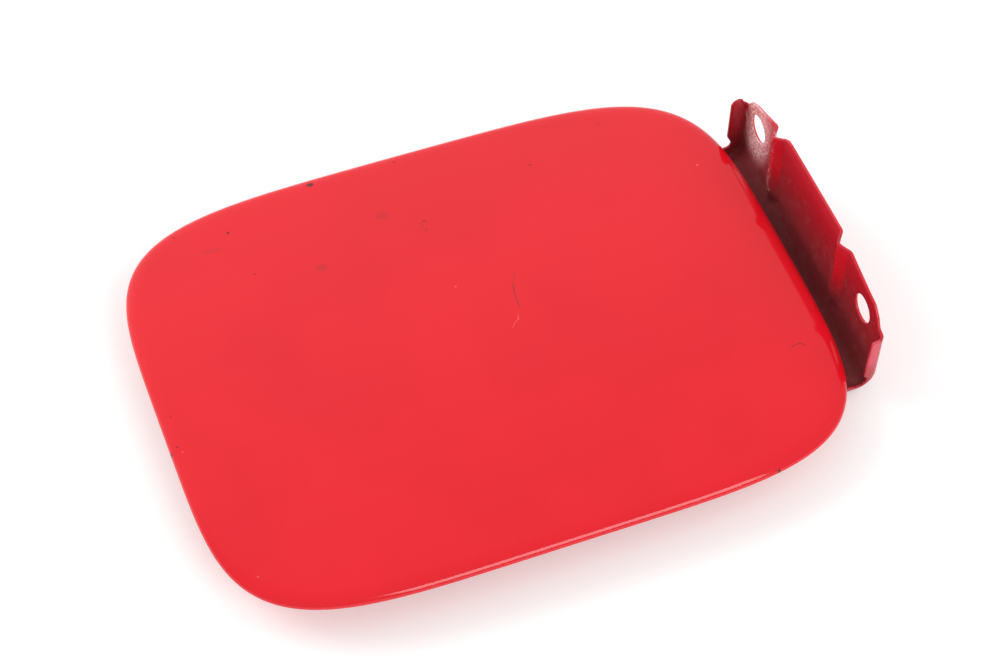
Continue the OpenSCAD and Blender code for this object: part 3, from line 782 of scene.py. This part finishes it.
def paint():
    g = Graph("gloss_red_paint")
    big = g.noise(45, 2, 0.5)
    fine = g.noise(0.9, 3, 0.6)
    dirt_n = g.noise(2.2, 3, 0.6)
    red = g.mix(g.step(big, 0.35, 0.65), (0.745, 0.0048, 0.0155), (0.785, 0.0058, 0.0175))
    # small stone chips, dots and scratches of a used door, (x, y, radius)
    P = lambda x, y: (-97.85 + x, -2.9 + y)
    jag = g.mul(g.m("SUBTRACT", fine, 0.5), 0.55)

    def spot(x, y, r, soft=0.35, ax=1.0, ay=1.0, rag=1.0):
        cx, cy = P(x, y)
        d = g.add(g.dist2(cx, cy, ax, ay), g.mul(jag, rag * min(1.0, r * 1.6)))
        return g.step(d, r, max(r - soft, 0.02))

    dark = g.any([spot(-53.9, 58.5, 0.55), spot(-2.1, 67.0, 0.45), spot(33.8, 52.5, 0.42), spot(58.0, 60.6, 0.42),
                  spot(-51.3, 41.9, 0.40), spot(-87.5, -5.4, 0.42), spot(-86.3, 4.3, 0.34),
                  spot(-1.5, 43.3, 0.46), spot(-2.1, 40.0, 0.36), spot(-68.5, 62.4, 0.4)])
    chips = g.any([spot(-27.1, 67.2, 1.0, 0.35, 1.3, 0.85), spot(67.7, -63.6, 0.55, 0.25, 1.2, 0.8),
                   spot(57.9, -65.4, 0.5, 0.25), spot(26.7, -67.8, 0.5, 0.25, 1.3, 0.8),
                   spot(-89.4, -6.6, 0.5, 0.3, 0.8, 1.4), spot(-88.0, -39.7, 0.4, 0.25), spot(-63.3, -65.3, 0.6, 0.4, 1.8, 0.8)])
    pale = g.any([spot(78.6, 36.4, 0.5, 0.3), spot(-1.3, 18.4, 0.4, 0.3), spot(-79.5, -49.8, 0.36, 0.3, 1.6, 0.8),
                  spot(-86.6, -7.4, 0.34, 0.3)])
    grain = g.step(g.add(fine, g.mul(dirt_n, 0.6)), 0.78, 0.95)
    smudge = g.any([g.mul(spot(-33.5, 37.4, 2.0, 1.6, 1.2, 0.9), 0.34), g.mul(spot(-11.9, 49.2, 2.6, 2.2, 1.1, 0.9), 0.20),
                    g.mul(spot(-11.9, 49.2, 2.4, 1.4), grain, 0.45), g.mul(spot(-2.0, 41.6, 2.6, 1.8), grain, 0.28)])
    wob = g.mul(g.m("SUBTRACT", dirt_n, 0.5), 0.5)

    def line(pts, w, soft=0.1):
        q = [P(*t) for t in pts]
        return g.any([g.step(g.add(g.segment(*a, *b), wob), w, w - soft) for a, b in zip(q[:-1], q[1:])])

    scratch = g.any([g.mul(line([(16.0, 18.1), (13.8, 13.9)], 0.20), g.step(fine, 0.40, 0.58), 0.75),
                     line([(13.8, 13.9), (13.1, 10.95), (12.56, 5.87)], 0.24)])
    tail = g.mul(line([(11.4, 4.3), (10.9, 2.2), (9.45, 1.35), (8.5, 0.06)], 0.17), g.step(fine, 0.38, 0.6), 0.5)
    curved = g.mul(line([(76.9, -31.3), (79.6, -30.6), (80.5, -31.8)], 0.26, 0.14), 0.75)
    rubs = g.any([g.mul(line([(-62.3, 53.9), (-57.5, 53.6)], 0.8, 0.6), 0.16), g.mul(line([(-84, -51.5), (-82.5, -53)], 0.3), 0.5)])
    col = g.mix(g.any([smudge, rubs]), red, (0.19, 0.022, 0.028))
    col = g.mix(g.mul(pale, 0.28), col, (0.86, 0.36, 0.36))
    col = g.mix(g.mul(tail, 0.8), col, (0.86, 0.24, 0.26))
    col = g.mix(g.mul(scratch, 0.72), col, (0.20, 0.022, 0.028))
    col = g.mix(g.mul(curved, 0.9), col, (0.20, 0.012, 0.018))
    col = g.mix(g.mul(dark, 0.92), col, (0.085, 0.003, 0.005))
    col = g.mix(g.mul(chips, 0.92), col, (0.075, 0.018, 0.018))
    worn = g.any([chips, dark, g.mul(scratch, 0.6), curved])
    # faint wiping haze, wider than it is tall
    wipe = g.noise(14, 3, 0.55, g.vec("MULTIPLY", g.p, (0.35, 1.6, 1)))
    rough = g.add(0.075, g.mul(g.step(wipe, 0.45, 0.8), 0.03), g.mul(worn, 0.12))
    peel = g.noise(1.7, 1, 0.5)
    dust = g.noise(0.35, 2, 0.6)
    h = g.add(g.mul(peel, 0.5), g.mul(dust, 0.05), g.mul(worn, -0.6))
    g.bump(h, 1.0, 0.0022)
    return g.set(color=col, rough=rough, metal=0.0, ior=1.5)


def leaf_paint():
    g = Graph("leaf_red_paint")
    n1, n2, n3, n4 = g.noise(8, 3, 0.6), g.noise(2.0, 3, 0.6), g.noise(0.42, 2, 0.6), g.noise(1.1, 3, 0.65)
    c1, c2 = g.m("SUBTRACT", n1, 0.5), g.m("SUBTRACT", n2, 0.5)
    # inside of the channel: between the ears and behind the flange's outer face
    inner = g.mul(g.step(g.x, -0.64, -0.76), g.step(g.y, -45.9, -45.3), g.step(g.y, 42.0, 41.6))
    # painted shade and dirt: the flange's inner face is painted darker and browner towards the channel's floor, where
    # the panel shades it, darkest in the deep part
    low = g.mul(g.step(g.add(g.z, g.mul(c1, 9)), 10.5, -10), inner)
    deep = g.mul(g.step(g.add(g.z, g.mul(c1, 6), g.mul(c2, 3)), -7, -16), inner)
    clean = g.mix(g.step(g.x, -0.76, -0.66), (0.45, 0.013, 0.026), (0.68, 0.014, 0.028))
    col = g.mix(low, clean, (0.31, 0.022, 0.030))
    col = g.mix(g.mul(deep, 0.9), col, (0.235, 0.026, 0.031))
    # greyish rub along the middle of the flange and in the folds
    rub = g.mul(g.step(g.add(n2, g.mul(n3, 0.3)), 0.62, 0.90), inner, g.step(g.z, 9.0, -2.0), 0.45)
    col = g.mix(rub, col, (0.33, 0.075, 0.075))
    grime = g.mul(g.step(n4, 0.58, 0.78), inner, g.step(g.z, 9.0, 0.0), 0.5)
    col = g.mix(grime, col, (0.13, 0.018, 0.020))
    # painted glint: round its hole the far tab is painted pale pink with white speckles where it catches the light, and
    # has small dark pits
    dy, dz = g.m("SUBTRACT", g.y, 35.0), g.m("SUBTRACT", g.z, 0.5)
    d = g.m("SQRT", g.add(g.mul(dy, dy), g.mul(dz, dz, 0.44)))
    tab_glint = g.mul(g.step(g.add(d, g.mul(c2, 5)), 11.5, 4.5), g.step(g.y, 22.4, 24.0), g.step(g.y, 41.4, 40.4), g.step(g.x, -0.35, -0.65))
    col = g.mix(g.mul(tab_glint, 0.85), col, (0.82, 0.33, 0.36))
    n5 = g.noise(0.62, 3, 0.7)
    glint_speck = g.mul(g.step(n5, 0.515, 0.565), g.step(g.add(n2, g.mul(tab_glint, 0.3)), 0.50, 0.70), tab_glint)
    pit = g.mul(g.step(n5, 0.44, 0.38), tab_glint)
    col = g.mix(g.mul(pit, 0.6), col, (0.26, 0.05, 0.06))
    col = g.mix(g.mul(glint_speck, 0.95), col, (0.95, 0.86, 0.82))
    # painted light: the upper part of the near ear, which faces the light, is painted a brighter red
    near_ear_lit = g.mul(g.step(g.y, -45.0, -45.4), g.step(g.add(g.z, g.mul(c2, 4)), -13, -6), g.step(g.x, -1.0, -2.2))
    col = g.mix(g.mul(near_ear_lit, 0.6), col, (0.84, 0.07, 0.13))
    # seat ring pressed by the screw's washer
    hy, hz = g.m("SUBTRACT", g.y, 33.85), g.z
    hd = g.m("SQRT", g.add(g.mul(hy, hy), g.mul(hz, hz)))
    ring = g.mul(g.step(g.m("ABSOLUTE", g.m("SUBTRACT", hd, 7.4)), 0.42, 0.12), g.step(g.z, 1.5, -2.5),
                 g.step(g.x, -0.35, -0.65), g.step(g.y, 25.5, 27.5))
    col = g.mix(g.mul(ring, 0.75), col, (0.80, 0.45, 0.43))
    # worn speckles along the ridge of the far bead
    rd = g.m("ABSOLUTE", g.m("SUBTRACT", g.y, 21.9))
    ridge = g.mul(g.step(g.add(rd, g.mul(c2, 2.5)), 1.7, 0.6), g.step(n5, 0.53, 0.60), g.step(g.x, -1.3, -1.9),
                  g.step(g.z, -14, -11))
    col = g.mix(g.mul(ridge, 0.8), col, (0.78, 0.46, 0.42))
    # painted light: the near wall of each bead, which faces the light, is painted a brighter red, more so higher up
    lit_bead_walls = []
    for yc, w0, grow, z0, z1 in ((21.7, 2.6, 0.10, -13.0, 1.0), (-19.2, 3.7, 0.03, -11.0, 0.0)):
        w = g.add(w0, g.mul(g.m("SUBTRACT", 15.5, g.z), grow))
        t = g.m("DIVIDE", g.m("SUBTRACT", yc, g.y), w)
        lit_bead_walls.append(g.mul(g.step(t, 0.02, 0.12), g.step(g.add(t, g.mul(c1, 0.5)), 1.0, 0.78), g.step(g.add(g.z, g.mul(c2, 5)), z0, z1)))
    col = g.mix(g.mul(g.any(lit_bead_walls), 0.62, g.step(g.x, -0.8, -0.9)), col, (0.72, 0.010, 0.026))
    # painted light: inside the channel the upper part of the flange, where more light reaches, is painted a lighter red
    top = g.mul(g.step(g.add(g.z, g.mul(c2, 2)), 7.2, 11.5), inner)
    col = g.mix(g.mul(top, 0.45), col, (0.60, 0.03, 0.05))
    # roughness mask from the grime, the rubs and the deep part's painted shade and dirt
    dirt_and_deep_shade = g.m("MAXIMUM", g.m("MAXIMUM", grime, g.mul(deep, 0.7)), rub)
    rough = g.add(0.16, g.mul(low, 0.14), g.mul(dirt_and_deep_shade, 0.25), g.mul(tab_glint, 0.12), g.mul(n2, 0.08))
    g.bump(g.add(g.mul(n2, 0.22), g.mul(grime, 0.5), g.mul(n3, 0.12), g.mul(glint_speck, -0.6), g.mul(ring, -0.5)), 1.0, 0.025)
    return g.set(color=col, rough=rough, metal=0.0, ior=1.5)


def inner_paint():
    g = Graph("inner_red_paint")
    n1, n2 = g.noise(22, 3, 0.6), g.noise(2.5, 3, 0.6)
    col = g.mix(g.step(n1, 0.3, 0.7), (0.42, 0.012, 0.022), (0.50, 0.018, 0.030))
    dust = g.mul(g.step(g.add(n1, g.mul(n2, 0.5)), 0.62, 1.0), 0.5)
    col = g.mix(dust, col, (0.20, 0.09, 0.07))
    g.bump(g.add(n2, g.mul(g.noise(0.5, 2), 0.4)), 1.0, 0.012)
    return g.set(color=col, rough=g.add(0.30, g.mul(dust, 0.4)), metal=0.0, ior=1.5)


def plated(name, c0, c1, rough, metal=1.0):
    g = Graph(name)
    n1, n2, n3 = g.noise(6, 3, 0.6), g.noise(0.8, 3, 0.6), g.noise(3, 4, 0.65)
    col = g.mix(g.step(n1, 0.35, 0.7), c0, c1)
    stain = g.step(n3, 0.58, 0.75)
    col = g.mix(g.mul(stain, 0.5), col, (0.20, 0.13, 0.08))
    g.bump(g.add(n2, n3), 1.0, 0.01)
    return g.set(color=col, rough=g.add(rough, g.mul(stain, 0.3), g.mul(n2, 0.12)), metal=metal)


def rubber():
    g = Graph("stop_rubber")
    n1, n2 = g.noise(3, 3, 0.6), g.noise(0.4, 2, 0.6)
    col = g.mix(g.step(n1, 0.4, 0.7), (0.014, 0.014, 0.015), (0.035, 0.033, 0.031))
    g.bump(g.add(n1, g.mul(n2, 0.5)), 1.0, 0.02)
    return g.set(color=col, rough=g.add(0.62, g.mul(n1, 0.2)), metal=0.0)


M_PAINT, M_LEAF, M_INNER = paint(), leaf_paint(), inner_paint()
M_ZINC = plated("zinc_plate", (0.46, 0.455, 0.43), (0.55, 0.53, 0.46), 0.36)
M_PIN = plated("pin_steel", (0.50, 0.49, 0.46), (0.62, 0.60, 0.56), 0.24)
M_SPRING = plated("spring_wire", (0.10, 0.10, 0.105), (0.17, 0.165, 0.16), 0.36)
M_RUBBER = rubber()


def give(ob, mat):
    ob.data.materials.clear()
    ob.data.materials.append(mat)


give(skin, M_PAINT)
give(pan, M_INNER)
give(leaf, M_LEAF)
for ob, mat in [(base, M_INNER), (pin, M_PIN), (nodes["pin_clip"], M_PIN), (spring, M_SPRING), (catch, M_ZINC)] \
        + [(st, M_RUBBER) for st in stops]:
    give(ob, mat)

# ---------------------------------------------------------------- stage
fm = bpy.data.materials.new("floor_white")
fm.use_nodes = True
fb = fm.node_tree.nodes["Principled BSDF"]
fb.inputs["Base Color"].default_value = (0.88, 0.88, 0.88, 1)
fb.inputs["Emission Color"].default_value = (1, 1, 1, 1)
fb.inputs["Emission Strength"].default_value = 0.22
fb.inputs["Roughness"].default_value = 0.9
fb.inputs["Specular IOR Level"].default_value = 0.1
bpy.ops.mesh.primitive_plane_add(size=8, location=(CX * MM, CY * MM, REST_Z * MM - 0.00005))
floor = bpy.context.object
floor.name = "floor"
give(floor, fm)
# at the closed stop the leaf reaches lower than the rest height: the floor goes
# down with the leaf's lowest edge, so that the door is always seen above it
foot = bpy.data.objects.new("floor_foot", None)
bpy.context.scene.collection.objects.link(foot)
foot.location = (0, CY * MM, REST_Z * MM - 0.00005)
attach(foot, "leaf")
follow = floor.constraints.new("COPY_LOCATION")
follow.target = foot
follow.use_x = follow.use_y = False

world = bpy.data.worlds.new("studio")
bpy.context.scene.world = world
world.use_nodes = True
wt = world.node_tree
bg = wt.nodes["Background"]
wc = wt.nodes.new("ShaderNodeTexCoord")
ws = wt.nodes.new("ShaderNodeSeparateXYZ")
wt.links.new(wc.outputs["Generated"], ws.inputs[0])
wr = wt.nodes.new("ShaderNodeMapRange")
wr.interpolation_type = "SMOOTHSTEP"
wt.links.new(ws.outputs[1], wr.inputs[0])
for k, v in enumerate((0.30, 0.80, 0.55, 1.05)):
    wr.inputs[1 + k].default_value = v
wt.links.new(wr.outputs[0], bg.inputs[1])
bg.inputs[0].default_value = (1, 1, 1, 1)


def area(name, direction, dist, size, power):
    li = bpy.data.lights.new(name, "AREA")
    li.shape = "SQUARE"
    li.size = size
    li.energy = power
    ob = bpy.data.objects.new(name, li)
    bpy.context.scene.collection.objects.link(ob)
    c = Vector((CX, CY, CZ)) * MM
    d = Vector(direction).normalized()
    ob.location = c + d * dist
    ob.rotation_mode = "QUATERNION"
    ob.rotation_quaternion = d.to_track_quat("Z", "Y")
    return ob


area("front_softbox", (0.25, -0.80, 0.62), 1.5, 0.75, 7.5)
area("left_softbox", (-0.85, 0.80, 0.75), 1.8, 1.1, 15.5).visible_glossy = False
area("right_softbox", (1.0, -0.15, 0.80), 1.8, 1.0, 4).visible_glossy = False

sc = bpy.context.scene
sc.view_settings.view_transform = "Standard"
sc.view_settings.look = "None"
sc.view_settings.exposure = 0
sc.view_settings.gamma = 1

# ---------------------------------------------------------------- camera
cam = bpy.data.cameras.new("camera")
cam.lens, cam.sensor_width, cam.sensor_fit = 90.0, 36.0, "HORIZONTAL"
cam.clip_start, cam.clip_end = 0.01, 20
cam.dof.use_dof = False
co = bpy.data.objects.new("camera", cam)
sc.collection.objects.link(co)
right = (0.93436869, -0.35586483, 0.01775858)
up = (0.27706219, 0.75699337, 0.59177494)
back = (-0.22403501, -0.54801575, 0.8059076)
rot = Matrix((right, up, back)).transposed()
co.matrix_world = Matrix.Translation(Vector((-244.433, -372.949, 536.399)) * MM) @ rot.to_4x4()
sc.camera = co

bpy.context.view_layer.update()
